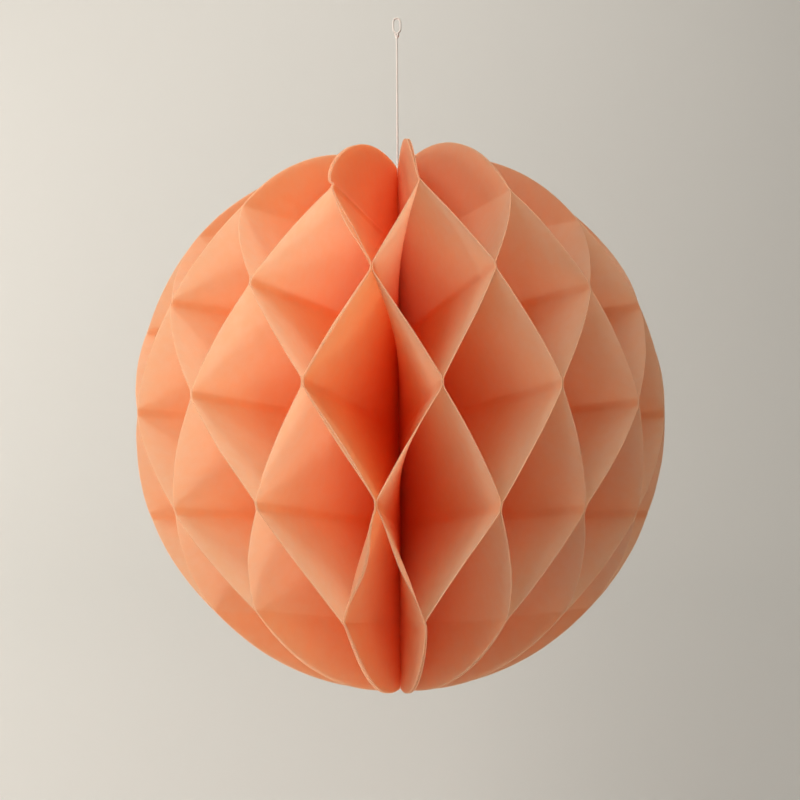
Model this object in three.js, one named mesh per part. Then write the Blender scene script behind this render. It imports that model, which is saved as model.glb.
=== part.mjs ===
// A honeycomb paper ball on a hanging thread, in millimetres.
// The spine of the ball lies on the Z axis and the middle of the spine is the origin.
// An azimuth is counted from -Y towards +X.

import * as THREE from 'three';

// Ball
const BALL_RADIUS = 125;
const BALL_HALF_HEIGHT = 129;
const PAPER = 0.3;
const CLEARANCE = 0.3;

// Fan of leaves: cells round the spine, and how unevenly it was pulled open by hand
const CELL_COUNT = 16;
const SEAM_TURN = THREE.MathUtils.degToRad(-16);
const FAN_DRIFT = THREE.MathUtils.degToRad(6);
const FAN_DRIFT_SIDE = THREE.MathUtils.degToRad(-21.6);

// Glue rows: level strips that join each leaf to its neighbours in turn, as many as leave a free flap
// at each end of the leaf
const ROW_MIDDLE = -8.2;
const ROW_PITCH_AT_RIM = 42.1;
const ROW_PITCH_AT_SPINE = 46.5;
const GLUE_STRIP_WIDTH = 3.2;
const SHORTEST_FLAP = 25;
const FLAP_SPRING_RATIO = 0.12;

// Width that is left at each end of a leaf
const LEAF_TIP_WIDTH = 3;

// How finely a leaf is divided along its height
const STEPS_BETWEEN_ROWS = 5;
const STEPS_IN_FLAP = 6;

// Spine binding, thread and knots
const BINDING_RECESS = 4;
const BINDING_SIDES = 12;
const THREAD = 1.2;
const THREAD_SIDES = 8;
const THREAD_STEP_RATIO = 3;
const KNOT_WIDTH = 2.8;
const KNOT_HEIGHT = 3.2;
const FREE_THREAD = 80.5;
const LOOP_WIDTH = 5.2;
const LOOP_HEIGHT = 9;
const LOOP_STEPS = 18;

const PAPER_COLOUR = 0xf58a5c;
const BINDING_COLOUR = 0xe07a4a;
const THREAD_COLOUR = 0xf4efe6;

const { clamp, lerp } = THREE.MathUtils;

function paperMaterial(colour) {
  return new THREE.MeshStandardMaterial({ color: colour, roughness: 0.8, metalness: 0 });
}

function threadMaterial() {
  return new THREE.MeshStandardMaterial({ color: THREAD_COLOUR, roughness: 0.95, metalness: 0 });
}

function piece(name, geometry, material) {
  const mesh = new THREE.Mesh(geometry, material);
  mesh.name = name;
  return mesh;
}

// The fan. Each cell needs two places for leaves. Place 0 is the seam, and a half place is the plane
// between two neighbours, where they are glued.
const FAN_PLACES = 2 * CELL_COUNT;

function azimuthAt(place) {
  const even = SEAM_TURN + (place * 2 * Math.PI) / FAN_PLACES;
  return even + FAN_DRIFT * Math.cos(even - FAN_DRIFT_SIDE);
}

function narrowestHalfPitch() {
  let narrowest = Math.PI;
  for (let half = 0; half < 2 * FAN_PLACES; half += 1) {
    narrowest = Math.min(narrowest, azimuthAt((half + 1) / 2) - azimuthAt(half / 2));
  }
  return narrowest;
}

// Straight edges of the leaves stand this far from the axis, so that all of them find room round it.
const HALF_PITCH = narrowestHalfPitch();

function spineRadius(sheets) {
  return (sheets * (PAPER + CLEARANCE)) / 2 / Math.sin(HALF_PITCH);
}

// Outline of a leaf. A row is a height counted in glue rows from the middle one.
const WIDEST_PITCH = Math.max(ROW_PITCH_AT_RIM, ROW_PITCH_AT_SPINE);
const TOP_ROW = Math.floor((BALL_HALF_HEIGHT - ROW_MIDDLE - SHORTEST_FLAP) / WIDEST_PITCH);
const BOTTOM_ROW = -Math.floor((BALL_HALF_HEIGHT + ROW_MIDDLE - SHORTEST_FLAP) / WIDEST_PITCH);

function rimHeight(row) {
  return ROW_MIDDLE + row * ROW_PITCH_AT_RIM;
}

function rimRadius(height) {
  return BALL_RADIUS * Math.sqrt(1 - (height / BALL_HALF_HEIGHT) ** 2);
}

function rowAtRimRadius(radius, side) {
  const height = BALL_HALF_HEIGHT * Math.sqrt(1 - (radius / BALL_RADIUS) ** 2);
  return (side * height - ROW_MIDDLE) / ROW_PITCH_AT_RIM;
}

// Height on the spine of the line that meets the rim at a row. The zigzag shortens a leaf at its rim,
// so the glue rows lie further apart at the spine. Past the last row the lines close up to the leaf's end.
function spineHeight(row, endRow) {
  const gluedRow = clamp(row, BOTTOM_ROW, TOP_ROW);
  const height = ROW_MIDDLE + gluedRow * ROW_PITCH_AT_SPINE;
  if (row === gluedRow) {
    return height;
  }
  return lerp(height, rimHeight(endRow), (row - gluedRow) / (endRow - gluedRow));
}

// Side to which a place is glued at a row: -1 to the place before it, 1 to the place after it.
function gluedSide(place, row) {
  return (place + row) % 2 === 0 ? -1 : 1;
}

const STRIP_SHARE = GLUE_STRIP_WIDTH / 2 / ROW_PITCH_AT_RIM;

// Way across the cell between two rows, 0 on the lower strip and 1 on the upper one.
function wayAcross(row) {
  return clamp((row - Math.floor(row) - STRIP_SHARE) / (1 - 2 * STRIP_SHARE), 0, 1);
}

// How far a leaf leans to its neighbours, from -1 to 1. It lies flat on each strip, folds at the strip's
// edge and runs straight over to the next one. Past the last row a free flap springs back a little.
function lean(place, row, endRow) {
  const gluedRow = clamp(row, BOTTOM_ROW, TOP_ROW);
  if (gluedRow === TOP_ROW || gluedRow === BOTTOM_ROW) {
    const free = Math.max(Math.abs(row - gluedRow) - STRIP_SHARE, 0);
    const whole = Math.abs(endRow - gluedRow) - STRIP_SHARE;
    return gluedSide(place, gluedRow) * (1 - FLAP_SPRING_RATIO * (free / whole));
  }
  return gluedSide(place, Math.floor(row)) * (1 - 2 * wayAcross(row));
}

// Rows at which a leaf is divided: both edges of each strip, even steps between the strips,
// and even steps of arc along each free flap.
function leafRows(spine) {
  const rows = [];
  for (let row = BOTTOM_ROW; row < TOP_ROW; row += 1) {
    for (let step = 0; step <= STEPS_BETWEEN_ROWS; step += 1) {
      rows.push(row + lerp(STRIP_SHARE, 1 - STRIP_SHARE, step / STEPS_BETWEEN_ROWS));
    }
  }
  for (const side of [-1, 1]) {
    const stripEdge = (side < 0 ? BOTTOM_ROW : TOP_ROW) + side * STRIP_SHARE;
    const endRow = rowAtRimRadius(spine + LEAF_TIP_WIDTH, side);
    const startArc = Math.asin(rimHeight(stripEdge) / BALL_HALF_HEIGHT);
    const endArc = Math.asin(rimHeight(endRow) / BALL_HALF_HEIGHT);
    for (let step = 0; step <= STEPS_IN_FLAP; step += 1) {
      const height = BALL_HALF_HEIGHT * Math.sin(lerp(startArc, endArc, step / STEPS_IN_FLAP));
      rows.push((height - ROW_MIDDLE) / ROW_PITCH_AT_RIM);
    }
  }
  return rows.sort((a, b) => a - b);
}

// A point at a radius and azimuth, moved sideways along the circle round the axis.
function pointAt(radius, azimuth, sideways, height) {
  const x = radius * Math.sin(azimuth) + sideways * Math.cos(azimuth);
  const y = -radius * Math.cos(azimuth) + sideways * Math.sin(azimuth);
  return [x, y, height];
}

// One leaf, a closed thin solid. Of the two leaves in the seam, layer -1 lies before layer 1.
// A leaf alone in its place has layer 0.
function leafGeometry(place, layer) {
  const sheets = layer === 0 ? 1 : 2;
  const room = (sheets * (PAPER + CLEARANCE)) / 2;
  const spine = spineRadius(sheets);
  const rows = leafRows(spine);
  const firstRow = rows[0];
  const lastRow = rows[rows.length - 1];
  const positions = [];
  for (const row of rows) {
    const endRow = row < 0 ? firstRow : lastRow;
    const rimZ = rimHeight(row);
    const ends = [
      { radius: spine, z: spineHeight(row, endRow) },
      { radius: rimRadius(rimZ), z: rimZ },
    ];
    for (const end of ends) {
      const margin = Math.asin(room / end.radius);
      const before = azimuthAt(place - 0.5) + margin;
      const after = azimuthAt(place + 0.5) - margin;
      const azimuth = lerp(before, after, (1 + lean(place, row, endRow)) / 2);
      const middle = (layer * (PAPER + CLEARANCE)) / 2;
      positions.push(...pointAt(end.radius, azimuth, middle - PAPER / 2, end.z));
      positions.push(...pointAt(end.radius, azimuth, middle + PAPER / 2, end.z));
    }
  }
  return sheetGeometry(positions, rows.length);
}

// Closes a sheet given as rows of four corners: spine before, spine after, rim before, rim after.
function sheetGeometry(positions, rowCount) {
  const index = [];
  const quad = (a, b, c, d) => index.push(a, b, c, a, c, d);
  for (let row = 0; row < rowCount - 1; row += 1) {
    const [spineA, spineB, rimA, rimB] = [0, 1, 2, 3].map((corner) => 4 * row + corner);
    const [upSpineA, upSpineB, upRimA, upRimB] = [4, 5, 6, 7].map((corner) => 4 * row + corner);
    quad(spineB, upSpineB, upRimB, rimB);
    quad(spineA, rimA, upRimA, upSpineA);
    quad(rimA, rimB, upRimB, upRimA);
    quad(spineA, upSpineA, upSpineB, spineB);
  }
  const top = 4 * (rowCount - 1);
  quad(0, 1, 3, 2);
  quad(top, top + 2, top + 3, top + 1);
  const geometry = new THREE.BufferGeometry();
  geometry.setAttribute('position', new THREE.Float32BufferAttribute(positions, 3));
  geometry.setIndex(index);
  geometry.computeVertexNormals();
  return geometry;
}

function leafName(number) {
  return `leaf_${String(number).padStart(2, '0')}`;
}

// First and last leaf share place 0 and close the ball.
function leaves() {
  const group = new THREE.Group();
  const seamLast = FAN_PLACES + 1;
  group.add(piece(leafName(1), leafGeometry(0, 1), paperMaterial(PAPER_COLOUR)));
  for (let place = 1; place < FAN_PLACES; place += 1) {
    group.add(piece(leafName(place + 1), leafGeometry(place, 0), paperMaterial(PAPER_COLOUR)));
  }
  group.add(piece(leafName(seamLast), leafGeometry(0, -1), paperMaterial(PAPER_COLOUR)));
  return group;
}

// Spine binding: a narrow core that the straight edges are fixed to, with a bore for the thread.
const BINDING_RADIUS = spineRadius(1) - CLEARANCE;
const BORE_RADIUS = THREAD / 2 + CLEARANCE;
const BINDING_END = BALL_HALF_HEIGHT - BINDING_RECESS;

function spineBinding() {
  const profile = [
    new THREE.Vector2(BORE_RADIUS, -BINDING_END),
    new THREE.Vector2(BINDING_RADIUS, -BINDING_END),
    new THREE.Vector2(BINDING_RADIUS, BINDING_END),
    new THREE.Vector2(BORE_RADIUS, BINDING_END),
    new THREE.Vector2(BORE_RADIUS, -BINDING_END),
  ];
  const geometry = new THREE.LatheGeometry(profile, BINDING_SIDES);
  geometry.rotateX(Math.PI / 2);
  return piece('spine_binding', geometry, paperMaterial(BINDING_COLOUR));
}

// Thread, knots and loop.

function threadSection() {
  const corners = [];
  for (let corner = 0; corner < THREAD_SIDES; corner += 1) {
    const turn = (2 * Math.PI * corner) / THREAD_SIDES;
    corners.push(new THREE.Vector2(Math.cos(turn), Math.sin(turn)).multiplyScalar(THREAD / 2));
  }
  return new THREE.Shape(corners);
}

function threadGeometry(path, steps) {
  return new THREE.ExtrudeGeometry(threadSection(), { extrudePath: path, steps, bevelEnabled: false });
}

function straightThread(name, bottom, top, steps) {
  const path = new THREE.LineCurve3(new THREE.Vector3(0, 0, bottom), new THREE.Vector3(0, 0, top));
  return piece(name, threadGeometry(path, steps), threadMaterial());
}

function knot(name, bottom) {
  const geometry = new THREE.SphereGeometry(KNOT_WIDTH / 2, 12, 8);
  geometry.rotateX(Math.PI / 2);
  geometry.scale(1, 1, KNOT_HEIGHT / KNOT_WIDTH);
  geometry.translate(0, 0, bottom + KNOT_HEIGHT / 2);
  return piece(name, geometry, threadMaterial());
}

// A narrow loop whose two ends stand on the knot below it.
function hangingLoop(bottom) {
  const half = (LOOP_WIDTH - THREAD) / 2;
  const foot = (THREAD + CLEARANCE) / 2;
  const crown = LOOP_HEIGHT - THREAD / 2;
  const side = [
    [foot, 0],
    [0.8 * half, 0.25 * crown],
    [half, 0.6 * crown],
    [0.7 * half, 0.9 * crown],
  ];
  const points = [...side, [0, crown], ...side.map(([x, z]) => [-x, z]).reverse()];
  const path = new THREE.CatmullRomCurve3(points.map(([x, z]) => new THREE.Vector3(x, 0, bottom + z)));
  return piece('hanging_loop', threadGeometry(path, LOOP_STEPS), threadMaterial());
}

function threadAndKnots() {
  const group = new THREE.Group();
  const stopKnot = -BINDING_END - CLEARANCE - KNOT_HEIGHT;
  const loopKnot = BINDING_END + CLEARANCE + FREE_THREAD + CLEARANCE;
  group.add(knot('stop_knot', stopKnot));
  group.add(straightThread('spine_thread', -BINDING_END, BINDING_END, 1));
  const exit = BINDING_END + CLEARANCE;
  const freeSteps = Math.ceil(FREE_THREAD / (THREAD_STEP_RATIO * THREAD));
  group.add(straightThread('hanging_thread', exit, exit + FREE_THREAD, freeSteps));
  group.add(knot('loop_knot', loopKnot));
  group.add(hangingLoop(loopKnot + KNOT_HEIGHT + CLEARANCE));
  return group;
}

const ball = new THREE.Group();
ball.add(leaves());
ball.add(spineBinding());
ball.add(threadAndKnots());

export default ball;
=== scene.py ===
import math
import random

import bmesh
import bpy
from mathutils import Matrix, Vector


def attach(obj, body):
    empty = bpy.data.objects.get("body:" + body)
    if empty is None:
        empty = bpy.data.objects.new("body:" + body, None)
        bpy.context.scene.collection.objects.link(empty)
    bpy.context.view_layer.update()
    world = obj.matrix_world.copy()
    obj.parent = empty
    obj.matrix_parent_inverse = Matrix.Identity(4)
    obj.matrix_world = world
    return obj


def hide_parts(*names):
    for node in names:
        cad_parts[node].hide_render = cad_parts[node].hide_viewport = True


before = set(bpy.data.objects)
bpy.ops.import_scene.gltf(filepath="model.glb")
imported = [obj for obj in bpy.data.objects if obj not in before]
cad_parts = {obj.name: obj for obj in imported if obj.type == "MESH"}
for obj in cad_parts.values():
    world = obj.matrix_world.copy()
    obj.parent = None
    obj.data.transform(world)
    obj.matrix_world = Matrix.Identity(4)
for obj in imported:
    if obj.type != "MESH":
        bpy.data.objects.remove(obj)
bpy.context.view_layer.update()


# Camera
# The ball hangs above eye level, so the view looks up at its front from close by.
EYE = Vector((0, -0.3946, -0.0653))
AIM = Vector((0.0005, 0, 0.00725))
ROLL = math.radians(-0.34)

camera_data = bpy.data.cameras.new("camera")
camera_data.lens = 36.4
camera_data.sensor_width = 36
camera = bpy.data.objects.new("camera", camera_data)
camera.location = EYE
looking = (AIM - EYE).to_track_quat("-Z", "Y").to_matrix()
camera.rotation_euler = (looking @ Matrix.Rotation(ROLL, 3, "Z")).to_euler()
bpy.context.collection.objects.link(camera)
bpy.context.scene.camera = camera


# Hanging thread
# White cotton of three plies twisted together, pulled straight by the ball's weight.
# It comes up out of the spine and ends in the knot of its loop.
THREAD_EXIT = 0.1253
FREE_THREAD = 0.0805
THREAD_WIDTH = 0.0012
PLIES = 3
PLY_WIDTH = 0.00062
TWIST_PITCH = 0.0034
PLY_SIDES = 8
STEPS_IN_A_TWIST = 12
PATH_STEP = 0.004

cotton = bpy.data.materials.new("white_cotton")
cotton.use_nodes = True
cotton_nodes = cotton.node_tree.nodes
cotton_links = cotton.node_tree.links
cotton_shader = cotton_nodes["Principled BSDF"]
cotton_shader.inputs["Roughness"].default_value = 0.9
cotton_shader.inputs["Specular IOR Level"].default_value = 0.2
cotton_shader.inputs["Sheen Weight"].default_value = 0.3
cotton_place = cotton_nodes.new("ShaderNodeTexCoord")
cotton_lint = cotton_nodes.new("ShaderNodeTexNoise")
cotton_lint.inputs["Scale"].default_value = 2600
cotton_lint.inputs["Detail"].default_value = 4
cotton_tint = cotton_nodes.new("ShaderNodeValToRGB")
cotton_tint.color_ramp.elements[0].position = 0.3
cotton_tint.color_ramp.elements[0].color = (0.9, 0.88, 0.86, 1)
cotton_tint.color_ramp.elements[1].position = 0.65
cotton_tint.color_ramp.elements[1].color = (1, 0.99, 0.98, 1)
cotton_bump = cotton_nodes.new("ShaderNodeBump")
cotton_bump.inputs["Strength"].default_value = 0.5
cotton_bump.inputs["Distance"].default_value = 0.0001
cotton_links.new(cotton_place.outputs["Object"], cotton_lint.inputs["Vector"])
cotton_links.new(cotton_lint.outputs["Fac"], cotton_tint.inputs["Fac"])
cotton_links.new(cotton_tint.outputs["Color"], cotton_shader.inputs["Base Color"])
cotton_links.new(cotton_lint.outputs["Fac"], cotton_bump.inputs["Height"])
cotton_links.new(cotton_bump.outputs["Normal"], cotton_shader.inputs["Normal"])


def resampled(points, step):
    """Points at even steps along a broken line, and the length of the line."""
    runs = [(b - a).length for a, b in zip(points, points[1:])]
    length = sum(runs)
    count = max(2, math.ceil(length / step))
    even = []
    run, passed = 0, 0.0
    for index in range(count + 1):
        target = length * index / count
        while run < len(runs) - 1 and passed + runs[run] < target:
            passed += runs[run]
            run += 1
        share = (target - passed) / runs[run]
        even.append(points[run].lerp(points[run + 1], min(share, 1)))
    return even, length


def carried_frames(points):
    """Two directions across the line at each point, carried along it without turning."""
    last = len(points) - 1
    ways = []
    for index in range(len(points)):
        ways.append((points[min(index + 1, last)] - points[max(index - 1, 0)]).normalized())
    across = ways[0].orthogonal().normalized()
    frames = []
    for way in ways:
        across = (across - way * across.dot(way)).normalized()
        frames.append((across, way.cross(across)))
    return frames


def add_tube(mesh, points, radii, sides):
    """A closed tube round a line of points."""
    rings = []
    for point, radius, (across, beside) in zip(points, radii, carried_frames(points)):
        ring = []
        for side in range(sides):
            turn = 2 * math.pi * side / sides
            ring.append(mesh.verts.new(point + radius * (math.cos(turn) * across + math.sin(turn) * beside)))
        rings.append(ring)
    for low, high in zip(rings, rings[1:]):
        for side in range(sides):
            after = (side + 1) % sides
            mesh.faces.new((low[side], low[after], high[after], high[side]))
    mesh.faces.new(rings[0][::-1])
    mesh.faces.new(rings[-1])


def piece_from(mesh, name, material):
    """A smooth object of this mesh, at the origin."""
    bmesh.ops.recalc_face_normals(mesh, faces=mesh.faces)
    data = bpy.data.meshes.new(name)
    mesh.to_mesh(data)
    mesh.free()
    data.materials.append(material)
    data.shade_smooth()
    data.set_sharp_from_angle(angle=math.radians(60))
    made = bpy.data.objects.new(name, data)
    bpy.context.collection.objects.link(made)
    return made


def twisted_thread(name, route):
    """Three plies laid round the route in one mesh."""
    points, length = resampled(route, TWIST_PITCH / STEPS_IN_A_TWIST)
    frames = carried_frames(points)
    mesh = bmesh.new()
    reach = (THREAD_WIDTH - PLY_WIDTH) / 2
    for ply in range(PLIES):
        laid = []
        for index, (point, (across, beside)) in enumerate(zip(points, frames)):
            turn = 2 * math.pi * (ply / PLIES + length * index / (len(points) - 1) / TWIST_PITCH)
            laid.append(point + reach * (math.cos(turn) * across + math.sin(turn) * beside))
        add_tube(mesh, laid, [PLY_WIDTH / 2] * len(laid), PLY_SIDES)
    return piece_from(mesh, name, cotton)


thread_route = [Vector((0, 0, THREAD_EXIT)), Vector((0, 0, THREAD_EXIT + FREE_THREAD))]
hanging_thread = twisted_thread("cotton_hanging_thread", thread_route)


# Loop and knot at the thread's upper end
# The thread turns back on itself in a small loop for a hook, closed by a tight overhand knot.
# The knot is the same thread, drawn into a lump.
GAP = 0.0003
KNOT_WIDTH = 0.0028
KNOT_HEIGHT = 0.0032
KNOT_PLY_RADIUS = 0.00052
KNOT_STEPS = 96
KNOT_SIDES = 12
LOOP_WIDTH = 0.0052
LOOP_HEIGHT = 0.009
LOOP_STEPS = 48


def overhand_knot(name, bottom):
    """A tight overhand knot, a trefoil of thread squeezed to the knot's size."""
    mesh = bmesh.new()
    wide = (KNOT_WIDTH - 2 * KNOT_PLY_RADIUS) / 2 / 3
    tall = (KNOT_HEIGHT - 2 * KNOT_PLY_RADIUS) / 2 / 3
    deep = (KNOT_WIDTH - 2 * KNOT_PLY_RADIUS) / 2
    rounds = []
    for step in range(KNOT_STEPS + 1):
        t = 2 * math.pi * step / KNOT_STEPS
        x = wide * (math.sin(t) + 2 * math.sin(2 * t))
        z = tall * (math.cos(t) - 2 * math.cos(2 * t))
        y = deep * math.sin(3 * t)
        rounds.append(Vector((x, y, bottom + KNOT_HEIGHT / 2 + z)))
    add_tube(mesh, rounds, [KNOT_PLY_RADIUS] * len(rounds), KNOT_SIDES)
    return piece_from(mesh, name, cotton)


loop_knot_bottom = THREAD_EXIT + FREE_THREAD + GAP
loop_knot = overhand_knot("cotton_loop_knot", loop_knot_bottom)

loop_bottom = loop_knot_bottom + KNOT_HEIGHT + GAP
loop_half = (LOOP_WIDTH - THREAD_WIDTH) / 2
loop_crown = LOOP_HEIGHT - THREAD_WIDTH / 2
loop_foot = (THREAD_WIDTH + GAP) / 2
loop_route = []
# The loop is drawn together at its foot and is widest a little above its middle.
for step in range(LOOP_STEPS + 1):
    t = math.pi * (2 * step / LOOP_STEPS - 1)
    rise = (1 + math.cos(t)) / 2
    spread = math.sin(abs(t)) ** 0.8 * (0.85 + 0.3 * rise)
    foot = loop_foot * (1 - rise) ** 3
    x = math.copysign(min(loop_half, loop_half * spread + foot), t)
    loop_route.append(Vector((x, 0, loop_bottom + loop_crown * rise)))
hanging_loop = twisted_thread("cotton_hanging_loop", loop_route)

cotton_pieces = {"hanging_thread": hanging_thread, "loop_knot": loop_knot, "hanging_loop": hanging_loop}
for node, part in cotton_pieces.items():
    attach(part, "root")
    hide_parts(node)
[tuple(point) for point in resampled(thread_route, PATH_STEP)[0]]


# Paper leaves
# Thirty-three half discs of apricot paper, straight edges at the spine like the pages of a book.
# Each is glued to its two neighbours on alternate level rows, so the open fan pulls it into a zigzag.
BALL_RADIUS = 0.125
BALL_HALF_HEIGHT = 0.129
PAPER = 0.0003
GLUE_FILM = 0.00002
FAN_PLACES = 32
SEAM_TURN = math.radians(-16)
FAN_DRIFT = math.radians(6)
FAN_DRIFT_SIDE = math.radians(-21.6)
GLUE_ROWS = 5
ROW_MIDDLE = -0.0082
ROW_PITCH_AT_RIM = 0.0421
ROW_PITCH_AT_SPINE = 0.0465
GLUE_STRIP = 0.0032
FOLD_ROUND = 0.0007
FLAP_SPRING_BACK = 0.12
LEAF_TIP = 0.003
PAPER_WAVE = 0.0004
RIM_UNEVEN = 0.0003
HALF_FOLD_STEPS = (0.0005, 0.0011, 0.0015, 0.0019, 0.0024, 0.0032)
FOLD_STEPS = [-step for step in reversed(HALF_FOLD_STEPS)] + list(HALF_FOLD_STEPS)
SPAN_STEPS = 14
FLAP_STEPS = 26
ACROSS = [step / 14 for step in range(14)] + [0.945, 0.96, 0.972, 0.982, 0.991, 1]
RIM_LIP = 0.08

# The paper is matte and so thin that each of its faces lets most of the light through: the cells glow.
# Its dye is cloudy where the fibres lie thicker.
DYE = (1, 0.84, 0.69, 1)
DYE_CLOUD = (1, 0.815, 0.645, 1)
LIGHT_THROUGH = 0.8

apricot = bpy.data.materials.new("apricot_paper")
apricot.use_nodes = True
apricot_nodes = apricot.node_tree.nodes
apricot_links = apricot.node_tree.links
apricot_place = apricot_nodes.new("ShaderNodeTexCoord")
apricot_cloud = apricot_nodes.new("ShaderNodeTexNoise")
apricot_cloud.inputs["Scale"].default_value = 260
apricot_cloud.inputs["Detail"].default_value = 2
apricot_dye = apricot_nodes.new("ShaderNodeValToRGB")
apricot_dye.color_ramp.elements[0].position = 0.35
apricot_dye.color_ramp.elements[0].color = DYE
apricot_dye.color_ramp.elements[1].position = 0.65
apricot_dye.color_ramp.elements[1].color = DYE_CLOUD
apricot_links.new(apricot_place.outputs["Object"], apricot_cloud.inputs["Vector"])
apricot_links.new(apricot_cloud.outputs["Fac"], apricot_dye.inputs["Fac"])

apricot_nodes.remove(apricot_nodes["Principled BSDF"])
apricot_back = apricot_nodes.new("ShaderNodeBsdfDiffuse")
apricot_through = apricot_nodes.new("ShaderNodeBsdfTranslucent")
apricot_mix = apricot_nodes.new("ShaderNodeMixShader")
apricot_mix.inputs["Fac"].default_value = LIGHT_THROUGH
for index, shader in enumerate((apricot_back, apricot_through)):
    apricot_links.new(apricot_dye.outputs["Color"], shader.inputs["Color"])
    apricot_links.new(shader.outputs["BSDF"], apricot_mix.inputs[index + 1])
apricot_links.new(apricot_mix.outputs["Shader"], apricot_nodes["Material Output"].inputs["Surface"])

cut_edge = bpy.data.materials.new("paper_cut_edge")
cut_edge.use_nodes = True
cut_nodes = cut_edge.node_tree.nodes
cut_links = cut_edge.node_tree.links
cut_shader = cut_nodes["Principled BSDF"]
cut_shader.inputs["Roughness"].default_value = 0.9
cut_shader.inputs["Specular IOR Level"].default_value = 0.1
cut_place = cut_nodes.new("ShaderNodeTexCoord")
cut_fray = cut_nodes.new("ShaderNodeTexNoise")
cut_fray.inputs["Scale"].default_value = 900
cut_tint = cut_nodes.new("ShaderNodeValToRGB")
cut_tint.color_ramp.elements[0].position = 0.3
cut_tint.color_ramp.elements[0].color = (0.97, 0.66, 0.44, 1)
cut_tint.color_ramp.elements[1].position = 0.7
cut_tint.color_ramp.elements[1].color = (1, 0.78, 0.58, 1)
cut_links.new(cut_place.outputs["Object"], cut_fray.inputs["Vector"])
cut_links.new(cut_fray.outputs["Fac"], cut_tint.inputs["Fac"])
cut_links.new(cut_tint.outputs["Color"], cut_shader.inputs["Base Color"])


class Measure:
    """A number worked out in a node tree, so that the rule of the fold reads as a formula."""

    def __init__(self, tree, socket):
        self.tree = tree
        self.socket = socket

    def worked(self, operation, *others):
        node = self.tree.nodes.new("ShaderNodeMath")
        node.operation = operation
        for slot, value in zip(node.inputs, (self, *others)):
            if isinstance(value, Measure):
                self.tree.links.new(value.socket, slot)
            else:
                slot.default_value = value
        return Measure(self.tree, node.outputs[0])

    def __add__(self, other):
        return self.worked("ADD", other)

    __radd__ = __add__

    def __sub__(self, other):
        return self.worked("SUBTRACT", other)

    def __mul__(self, other):
        return self.worked("MULTIPLY", other)

    def __truediv__(self, other):
        return self.worked("DIVIDE", other)

    def __neg__(self):
        return self.worked("MULTIPLY", -1)

    def between(self, low, high):
        return self.worked("MAXIMUM", low).worked("MINIMUM", high)

    def sine(self):
        return self.worked("SINE")

    def cosine(self):
        return self.worked("COSINE")


leaf_tree = bpy.data.node_groups.new("honeycomb_leaf", "GeometryNodeTree")
leaf_tree.is_modifier = True
leaf_nodes = leaf_tree.nodes
leaf_links = leaf_tree.links
leaf_in = leaf_nodes.new("NodeGroupInput")
leaf_out = leaf_nodes.new("NodeGroupOutput")
leaf_sockets = {}
leaf_sizes = {
    "Ball Radius": BALL_RADIUS,
    "Half Height": BALL_HALF_HEIGHT,
    "Row Middle": ROW_MIDDLE,
    "Pitch At Rim": ROW_PITCH_AT_RIM,
    "Pitch At Spine": ROW_PITCH_AT_SPINE,
    "Glue Strip": GLUE_STRIP,
    "Fold Round": FOLD_ROUND,
    "Flap Spring Back": FLAP_SPRING_BACK,
    "Spine Radius": 0.002,
    "End Arc": 1.5,
    "Room": PAPER / 2,
    "Layer": 0.0,
    "Layer Offset": 0.0,
    "Wave": PAPER_WAVE,
    "Rim Uneven": RIM_UNEVEN,
    "Rim Lip": RIM_LIP,
    "First Side": 1.0,
    "Middle Azimuth": 0.0,
    "Seed": 0.0,
}
for row in range(GLUE_ROWS):
    leaf_sizes[f"Glue Azimuth {row + 1}"] = 0.0
    leaf_sizes[f"Glue Lift {row + 1}"] = 0.0
for span in range(GLUE_ROWS - 1):
    leaf_sizes[f"Rim Curl {span + 1}"] = 0.0
    leaf_sizes[f"Seam Slit {span + 1}"] = 0.0
for end in ("Top", "Bottom"):
    leaf_sizes[f"{end} Flap Lean"] = 0.0
    leaf_sizes[f"{end} Flap Rise"] = 0.0
leaf_tree.interface.new_socket("Flat Sheet", in_out="INPUT", socket_type="NodeSocketGeometry")
for name, value in leaf_sizes.items():
    socket = leaf_tree.interface.new_socket(name, in_out="INPUT", socket_type="NodeSocketFloat")
    socket.default_value = value
    leaf_sockets[name] = socket.identifier
leaf_tree.interface.new_socket("Leaf", in_out="OUTPUT", socket_type="NodeSocketGeometry")


def size(name):
    return Measure(leaf_tree, leaf_in.outputs[name])


leaf_spot = leaf_nodes.new("GeometryNodeInputPosition")
leaf_flat = leaf_nodes.new("ShaderNodeSeparateXYZ")
leaf_links.new(leaf_spot.outputs["Position"], leaf_flat.inputs["Vector"])
row = Measure(leaf_tree, leaf_flat.outputs["X"])
outward = Measure(leaf_tree, leaf_flat.outputs["Y"])


def paper_noise(scale_along, scale_across, turn):
    """Slow unevenness of one leaf, from -1 to 1."""
    spot = leaf_nodes.new("ShaderNodeCombineXYZ")
    leaf_links.new((row * scale_along).socket, spot.inputs["X"])
    leaf_links.new((outward * scale_across).socket, spot.inputs["Y"])
    leaf_links.new((size("Seed") * 3.7 + turn).socket, spot.inputs["Z"])
    noise = leaf_nodes.new("ShaderNodeTexNoise")
    noise.inputs["Scale"].default_value = 1
    noise.inputs["Detail"].default_value = 1
    leaf_links.new(spot.outputs["Vector"], noise.inputs["Vector"])
    return (Measure(leaf_tree, noise.outputs["Fac"]) - 0.5) * 2


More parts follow.
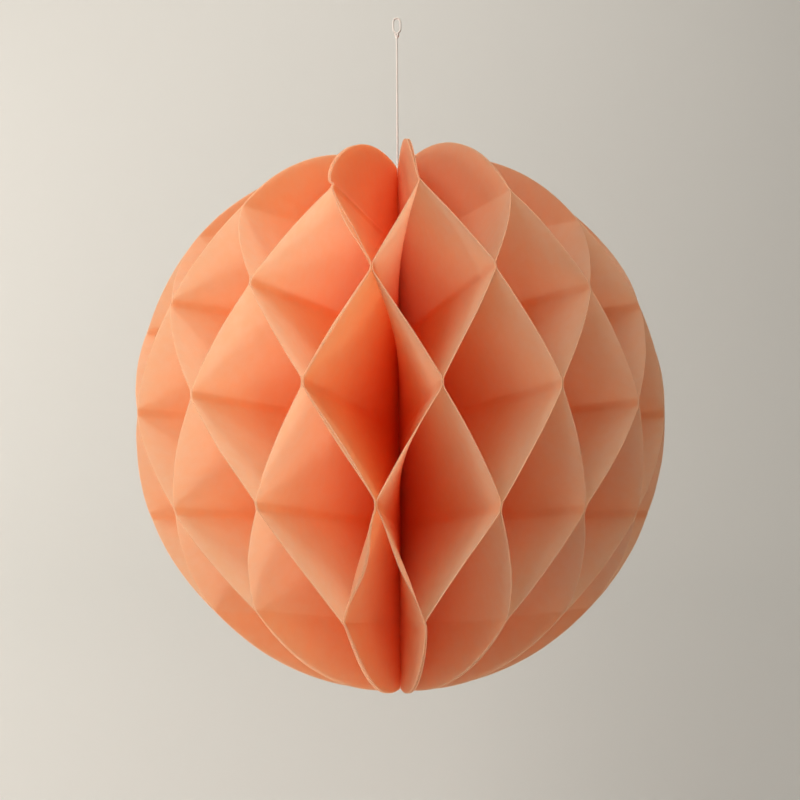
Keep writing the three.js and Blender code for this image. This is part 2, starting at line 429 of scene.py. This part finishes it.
# A row is a height counted in glue rows from the middle one. From each glue strip the leaf swings over
# to the next one, on its other side, with a small round where it leaves the strip.
last_row = (GLUE_ROWS - 1) / 2
strip_share = size("Glue Strip") / size("Pitch At Rim") / 2
span_share = strip_share * -2 + 1
round_share = size("Fold Round") / size("Pitch At Rim") / span_share
round_square = round_share * round_share
azimuth = size("Glue Azimuth 1")
lift = size("Glue Lift 1")
side = size("First Side")
humps = []
for step in range(GLUE_ROWS - 1):
    way = (row + (last_row - step) - strip_share) / span_share
    left = way - 1
    leaving = (way * way + round_square).worked("SQRT")
    arriving = (left * left + round_square).worked("SQRT")
    swing = (leaving - arriving + 1) / 2
    azimuth = azimuth + (size(f"Glue Azimuth {step + 2}") - size(f"Glue Azimuth {step + 1}")) * swing
    lift = lift + (size(f"Glue Lift {step + 2}") - size(f"Glue Lift {step + 1}")) * swing
    side = side + size("First Side") * swing * (-2 if step % 2 == 0 else 2)
    free = (way.between(0, 1) * math.pi).sine()
    humps.append(free * free)
loose = sum(humps)
curl = sum(hump * size(f"Rim Curl {span + 1}") for span, hump in enumerate(humps))
slit = sum(hump * size(f"Seam Slit {span + 1}") for span, hump in enumerate(humps))

# Past the last row a free flap runs on to the pole. Rows lie further apart at the spine than at the rim,
# and in the flaps their lines close up to the leaf's end.
end_height = size("End Arc").sine() * size("Half Height")
top_flap = (end_height - size("Row Middle")) / size("Pitch At Rim") - last_row
bottom_flap = (end_height + size("Row Middle")) / size("Pitch At Rim") - last_row
in_top = ((row - last_row) / top_flap).between(0, 1)
in_bottom = ((-row - last_row) / bottom_flap).between(0, 1)
in_flap = in_top + in_bottom
azimuth = azimuth + (size("Middle Azimuth") - azimuth) * in_flap * size("Flap Spring Back")
lift = lift - lift * in_flap
spine_reach = size("Pitch At Spine") * last_row
spine_height = size("Row Middle") + row.between(-last_row, last_row) * size("Pitch At Spine")
spine_height = spine_height + in_top * (end_height - size("Row Middle") - spine_reach)
spine_height = spine_height - in_bottom * (end_height + size("Row Middle") - spine_reach)

# The cut rim is a half circle, a little taller than wide.
rim_height = size("Row Middle") + row * size("Pitch At Rim") + lift
rim_share = rim_height / size("Half Height")
rim_radius = (rim_share * rim_share * -1 + 1).worked("SQRT") * size("Ball Radius")
rim_radius = rim_radius + paper_noise(3.5, 0, 11) * size("Rim Uneven")

# Each point goes out along its row's line, kept half a sheet clear of the glue plane.
radius = size("Spine Radius") + (rim_radius - size("Spine Radius")) * outward
height = spine_height + (rim_height - spine_height) * outward
turned = azimuth - side * (size("Room") / radius).worked("ARCSINE")
sideways = size("Layer") * (size("Layer Offset") + slit * outward * outward)
sideways = sideways + paper_noise(2.3, 2.5, 0) * size("Wave") * loose * outward
lip = ((outward - 1) / size("Rim Lip") + 1).between(0, 1)
sideways = sideways + curl * lip * lip

# A free flap may lean to one side, most where it leaves the last strip, and stand up or hang down.
rim_arc = rim_share.worked("ARCSINE")
for end, way in (("Top", 1), ("Bottom", -1)):
    last_height = size("Row Middle") * way + size("Pitch At Rim") * last_row
    last_arc = (last_height / size("Half Height")).worked("ARCSINE")
    along_flap = ((rim_arc * way - last_arc) / (size("End Arc") - last_arc)).between(0, 1)
    lean = (along_flap.worked("SQRT") * math.pi).sine() * outward * outward
    rise = (along_flap * math.pi).sine() * outward
    sideways = sideways + size(f"{end} Flap Lean") * lean
    height = height + size(f"{end} Flap Rise") * rise
leaf_point = leaf_nodes.new("ShaderNodeCombineXYZ")
leaf_links.new((radius * turned.sine() + sideways * turned.cosine()).socket, leaf_point.inputs["X"])
leaf_links.new((sideways * turned.sine() - radius * turned.cosine()).socket, leaf_point.inputs["Y"])
leaf_links.new(height.socket, leaf_point.inputs["Z"])

leaf_folded = leaf_nodes.new("GeometryNodeSetPosition")
leaf_smooth = leaf_nodes.new("GeometryNodeSetShadeSmooth")
leaf_real = leaf_nodes.new("GeometryNodeRealizeInstances")
leaf_paper = leaf_nodes.new("GeometryNodeSetMaterial")
leaf_paper.inputs["Material"].default_value = apricot
leaf_links.new(leaf_in.outputs["Flat Sheet"], leaf_folded.inputs["Geometry"])
leaf_links.new(leaf_point.outputs["Vector"], leaf_folded.inputs["Position"])
leaf_links.new(leaf_folded.outputs["Geometry"], leaf_smooth.inputs["Geometry"])
leaf_links.new(leaf_smooth.outputs["Geometry"], leaf_real.inputs["Geometry"])
leaf_links.new(leaf_real.outputs["Geometry"], leaf_paper.inputs["Geometry"])
leaf_links.new(leaf_paper.outputs["Geometry"], leaf_out.inputs["Leaf"])


def azimuth_at(place):
    even = SEAM_TURN + place * 2 * math.pi / FAN_PLACES
    return even + FAN_DRIFT * math.cos(even - FAN_DRIFT_SIDE)


# The fan was opened by hand, so some glue points on the front stand off the even pattern: by row and
# half place, how many degrees round and how many millimetres up.
MM = 0.001
PULLED = {
    (2, -2.5): (-1, 1), (2, -0.5): (1, -1.5), (2, 1.5): (-1.5, 1.5),
    (2, 3.5): (-1, 1.5), (2, 5.5): (-1, -3.5),
    (1, -1.5): (0, -1.5), (1, 2.5): (0, 2), (1, 6.5): (1.5, 2.5),
    (0, 1.5): (0.5, -1), (0, 3.5): (0.5, 1), (0, 5.5): (1, -1),
    (-1, -1.5): (0.5, 0.5), (-1, 0.5): (0.5, 0), (-1, 2.5): (1, -1),
    (-1, 4.5): (-1, -1), (-1, 6.5): (-0.5, -1),
    (-2, -2.5): (0.5, 2.5), (-2, -0.5): (1.5, -1.5), (-2, 1.5): (-0.5, -1), (-2, 3.5): (0, -1),
}

# On two spans the cut rim has curled over: by place and span from the bottom, millimetres to the right.
CURLED = {(0, 0): 4, (1, 0): -2}

# The two sheets of the seam stand a little apart between the glue strips: half the slit in millimetres,
# from the bottom span up.
SEAM_SLITS = (0.3, 0.5, 0.2, 0.7)

# Some free flaps, which go in pairs, lean and stand off the even round: by end and half place,
# millimetres to the right and up.
LEANING = {
    ("Top", -0.5): (-4.5, 0.5),
    ("Top", 1.5): (-1.2, 2),
    ("Top", 3.5): (0, 3),
    ("Bottom", -0.5): (1, -1.5),
    ("Bottom", 1.5): (1.5, -1.5),
}


def on_front(half):
    """The same half place, counted so that those on the front are small numbers."""
    return (half + 4) % FAN_PLACES - 4


def glue_point(row, half):
    """Azimuth and lift of the glue point on a row between two places."""
    turn, lift = PULLED.get((row, on_front(half)), (0, 0))
    return azimuth_at(half) + math.radians(turn), MM * lift


def flat_sheet(end_arc):
    """A flat leaf: x counts glue rows, closely at the folds, and y runs from straight edge to rim."""
    last = (GLUE_ROWS - 1) / 2
    rows = []
    for strip in range(GLUE_ROWS):
        rows += [strip - last + step / ROW_PITCH_AT_RIM for step in FOLD_STEPS]
        if strip < GLUE_ROWS - 1:
            start, end = rows[-1], strip + 1 - last + FOLD_STEPS[0] / ROW_PITCH_AT_RIM
            rows += [start + (end - start) * step / SPAN_STEPS for step in range(1, SPAN_STEPS)]
    for edge, way in ((rows[0], -1), (rows[-1], 1)):
        start = math.asin((ROW_MIDDLE + edge * ROW_PITCH_AT_RIM) / BALL_HALF_HEIGHT)
        for step in range(1, FLAP_STEPS + 1):
            turn = start + (way * end_arc - start) * step / FLAP_STEPS
            rows.append((BALL_HALF_HEIGHT * math.sin(turn) - ROW_MIDDLE) / ROW_PITCH_AT_RIM)
    rows.sort()
    sheet = bmesh.new()
    lines = [[sheet.verts.new((x, y, 0)) for y in ACROSS] for x in rows]
    for low, high in zip(lines, lines[1:]):
        for y in range(len(ACROSS) - 1):
            sheet.faces.new((low[y], high[y], high[y + 1], low[y + 1]))
    flat = bpy.data.meshes.new("flat_leaf")
    sheet.to_mesh(flat)
    sheet.free()
    return flat


half_places = [azimuth_at(half / 2) for half in range(2 * FAN_PLACES + 1)]
narrowest_half = min(b - a for a, b in zip(half_places, half_places[1:]))


def paper_leaf(number, place, layer):
    """One leaf, folded by the tree and given its thickness."""
    sheets = 2 if layer else 1
    room = sheets * (PAPER + GLUE_FILM) / 2
    spine = room / math.sin(narrowest_half)
    end_arc = math.acos((spine + LEAF_TIP) / BALL_RADIUS)
    base = flat_sheet(end_arc)
    base.materials.append(apricot)
    base.materials.append(cut_edge)
    sheet = bpy.data.objects.new("leaf_base", base)
    bpy.context.collection.objects.link(sheet)
    fold = sheet.modifiers.new("fold", "NODES")
    fold.node_group = leaf_tree
    first_side = -1 if place % 2 == 0 else 1
    pair = on_front(place + first_side / 2)
    values = {
        "Spine Radius": spine,
        "End Arc": end_arc,
        "Room": room,
        "Layer": layer,
        "Layer Offset": (PAPER + GLUE_FILM) / 2,
        "First Side": first_side,
        "Middle Azimuth": azimuth_at(place),
        "Seed": number,
    }
    for index in range(GLUE_ROWS):
        side = first_side * (-1) ** index
        turn, lift = glue_point(index - (GLUE_ROWS - 1) // 2, place + side / 2)
        values[f"Glue Azimuth {index + 1}"] = turn
        values[f"Glue Lift {index + 1}"] = lift
    for span in range(GLUE_ROWS - 1):
        values[f"Rim Curl {span + 1}"] = MM * CURLED.get((place, span), 0)
        values[f"Seam Slit {span + 1}"] = MM * SEAM_SLITS[span]
    for end in ("Top", "Bottom"):
        lean, rise = LEANING.get((end, pair), (0, 0))
        values[f"{end} Flap Lean"] = MM * lean
        values[f"{end} Flap Rise"] = MM * rise
    for name, value in leaf_sizes.items():
        fold[leaf_sockets[name]] = float(values.get(name, value))
    thick = sheet.modifiers.new("thickness", "SOLIDIFY")
    thick.thickness = PAPER
    thick.offset = 0
    thick.use_even_offset = True
    thick.material_offset_rim = 1
    folded = sheet.evaluated_get(bpy.context.evaluated_depsgraph_get())
    data = bpy.data.meshes.new_from_object(folded)
    data.name = f"paper_leaf_{number:02d}"
    data.materials.clear()
    data.materials.append(apricot)
    data.materials.append(cut_edge)
    data.set_sharp_from_angle(angle=math.radians(50))
    leaf = bpy.data.objects.new(f"paper_leaf_{number:02d}", data)
    bpy.context.collection.objects.link(leaf)
    bpy.data.objects.remove(sheet)
    bpy.data.meshes.remove(base)
    return leaf


stack = [(1, 0, 1)] + [(place + 1, place, 0) for place in range(1, FAN_PLACES)] + [(FAN_PLACES + 1, 0, -1)]
for number, place, layer in stack:
    leaf = paper_leaf(number, place, layer)
    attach(leaf, "root")
    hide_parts(f"leaf_{number:02d}")


# Spine binding
# The straight edges of the leaves, glued and sewn into a stiff narrow core with the thread in it.
# Dried glue makes its surface uneven.
BINDING_END = 0.125
BINDING_RADIUS = 0.00155
BORE_RADIUS = 0.0008
BINDING_SIDES = 24
BINDING_STEPS = 100
GLUE_UNEVEN = 0.08

glued = bpy.data.materials.new("glued_paper_core")
glued.use_nodes = True
glued_nodes = glued.node_tree.nodes
glued_links = glued.node_tree.links
glued_shader = glued_nodes["Principled BSDF"]
glued_shader.inputs["Roughness"].default_value = 0.6
glued_place = glued_nodes.new("ShaderNodeTexCoord")
glued_patch = glued_nodes.new("ShaderNodeTexNoise")
glued_patch.inputs["Scale"].default_value = 500
glued_tint = glued_nodes.new("ShaderNodeValToRGB")
glued_tint.color_ramp.elements[0].color = (0.96, 0.5, 0.3, 1)
glued_tint.color_ramp.elements[1].color = (1, 0.66, 0.45, 1)
glued_links.new(glued_place.outputs["Object"], glued_patch.inputs["Vector"])
glued_links.new(glued_patch.outputs["Fac"], glued_tint.inputs["Fac"])
glued_links.new(glued_tint.outputs["Color"], glued_shader.inputs["Base Color"])

core = bmesh.new()
glue_lumps = random.Random(5)
core_turns = [2 * math.pi * side / BINDING_SIDES for side in range(BINDING_SIDES)]
outer, inner = [], []
for step in range(BINDING_STEPS + 1):
    z = BINDING_END * (2 * step / BINDING_STEPS - 1)
    reach = [BINDING_RADIUS * (1 - GLUE_UNEVEN * glue_lumps.random()) for _ in core_turns]
    outer.append([core.verts.new((r * math.cos(t), r * math.sin(t), z)) for r, t in zip(reach, core_turns)])
    bore = [(BORE_RADIUS * math.cos(t), BORE_RADIUS * math.sin(t), z) for t in core_turns]
    inner.append([core.verts.new(point) for point in bore])
for side in range(BINDING_SIDES):
    after = (side + 1) % BINDING_SIDES
    for low, high in zip(outer, outer[1:]):
        core.faces.new((low[side], low[after], high[after], high[side]))
    for low, high in zip(inner, inner[1:]):
        core.faces.new((low[after], low[side], high[side], high[after]))
    core.faces.new((outer[0][after], outer[0][side], inner[0][side], inner[0][after]))
    core.faces.new((outer[-1][side], outer[-1][after], inner[-1][after], inner[-1][side]))
spine_binding = piece_from(core, "glued_spine_binding", glued)
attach(spine_binding, "root")
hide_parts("spine_binding")


# Thread in the spine, with its stop knot
# The same white thread runs down the core. A knot below the core's end carries the ball.
spine_route = [Vector((0, 0, -BINDING_END)), Vector((0, 0, BINDING_END))]
spine_thread = twisted_thread("cotton_spine_thread", spine_route)
stop_knot = overhand_knot("cotton_stop_knot", -BINDING_END - GAP - KNOT_HEIGHT)
for part, node in ((spine_thread, "spine_thread"), (stop_knot, "stop_knot")):
    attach(part, "root")
    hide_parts(node)


# Floor, backdrop and light
# A pale floor that sweeps up into a pale backdrop, and broad soft light from the left.
backdrop_material = bpy.data.materials.new("pale_backdrop")
backdrop_material.use_nodes = True
backdrop_shader = backdrop_material.node_tree.nodes["Principled BSDF"]
backdrop_shader.inputs["Base Color"].default_value = (0.76, 0.79, 0.79, 1)
backdrop_shader.inputs["Roughness"].default_value = 0.9

FLOOR = -0.42
FLOOR_FRONT = -2.5
BACK = 0.72
BACK_TOP = 2.2
HALF_WIDTH = 3
SWEEP = 0.3
SWEEP_STEPS = 12
profile = [(FLOOR_FRONT, FLOOR)]
for step in range(SWEEP_STEPS + 1):
    t = math.pi / 2 * step / SWEEP_STEPS
    profile.append((BACK - SWEEP + SWEEP * math.sin(t), FLOOR + SWEEP - SWEEP * math.cos(t)))
profile.append((BACK, BACK_TOP))
sweep = bmesh.new()
edges = [[sweep.verts.new((x, y, z)) for y, z in profile] for x in (-HALF_WIDTH, HALF_WIDTH)]
for step in range(len(profile) - 1):
    sweep.faces.new((edges[0][step], edges[1][step], edges[1][step + 1], edges[0][step + 1]))
sweep_data = bpy.data.meshes.new("pale_backdrop")
sweep.to_mesh(sweep_data)
sweep.free()
sweep_data.materials.append(backdrop_material)
sweep_data.shade_smooth()
backdrop = bpy.data.objects.new("pale_backdrop", sweep_data)
bpy.context.collection.objects.link(backdrop)

world = bpy.data.worlds.new("pale_room")
world.use_nodes = True
world.node_tree.nodes["Background"].inputs["Color"].default_value = (1, 0.92, 0.84, 1)
world.node_tree.nodes["Background"].inputs["Strength"].default_value = 0.02
bpy.context.scene.world = world


WARM = (1.0, 0.9, 0.8)


def soft_light(name, azimuth, elevation, distance, width, height, power):
    """A broad lamp aimed at the ball: degrees from the front, left of it negative, metres and watts."""
    turn, rise = math.radians(azimuth), math.radians(elevation)
    level = math.cos(rise)
    place = distance * Vector((math.sin(turn) * level, -math.cos(turn) * level, math.sin(rise)))
    data = bpy.data.lights.new(name, "AREA")
    data.shape = "RECTANGLE"
    data.size = width
    data.size_y = height
    data.energy = power
    data.color = WARM
    light = bpy.data.objects.new(name, data)
    light.location = place
    light.rotation_euler = (-place).to_track_quat("-Z", "Y").to_euler()
    light.visible_camera = False
    bpy.context.collection.objects.link(light)


soft_light("window_far_left", -100, 8, 1.6, 0.35, 0.8, 6.2)
soft_light("window_front_left", -62, 8, 1.6, 0.2, 0.8, 6.9)
soft_light("high_left", -70, 60, 1.6, 0.6, 0.6, 3.6)
soft_light("room_front_left", -35, 30, 1.6, 0.8, 0.8, 8.6)
soft_light("overhead", 0, 75, 1.6, 0.75, 0.75, 7)
soft_light("high_right", 45, 65, 1.6, 0.6, 0.6, 2.2)
soft_light("front_fill", 25, 5, 1.6, 0.9, 0.9, 0.6)
soft_light("behind_left", -115, 30, 1.5, 0.7, 0.7, 1.8)

# Light goes on from leaf to leaf many times before it leaves a cell.
BOUNCES = 48
scene = bpy.context.scene
scene.view_settings.view_transform = "Standard"
scene.cycles.diffuse_bounces = BOUNCES
scene.cycles.transmission_bounces = BOUNCES
scene.cycles.max_bounces = BOUNCES
scene.cycles.caustics_reflective = False
scene.cycles.use_light_tree = False
